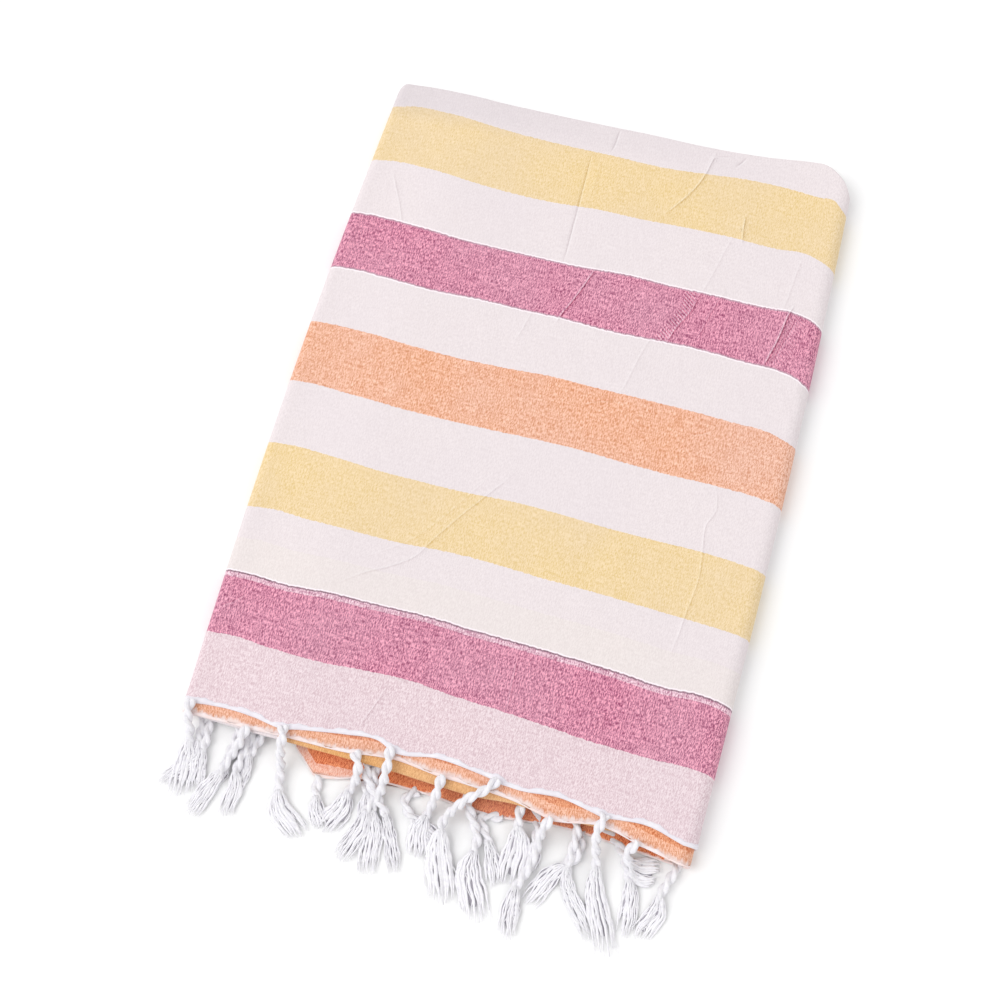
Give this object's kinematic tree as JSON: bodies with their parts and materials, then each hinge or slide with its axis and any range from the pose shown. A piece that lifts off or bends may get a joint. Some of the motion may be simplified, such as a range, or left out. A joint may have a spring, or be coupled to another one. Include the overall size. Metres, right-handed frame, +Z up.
{
  "type": "folded beach towel",
  "caption": "Striped flat-woven cotton beach towel, folded into a flat packet, with twisted tassels on both ends",
  "frame": {"origin": "on the underside of the lowest layer, below the middle of the folded packet", "axes": "+X along the stripes, from the left fold to the right fold; +Y from the fringed near edge to the plain far fold; +Z up through the layers"},
  "size_m": [0.3259, 0.5335, 0.0224],
  "materials": {
    "towel_cotton": "matt",
    "fringe_yarn": "matt"
  },
  "bodies": {
    "root": {"towel_cloth": "towel_cotton", "fringe_end_a": "fringe_yarn", "fringe_end_b": "fringe_yarn"}
  },
  "joints": []
}
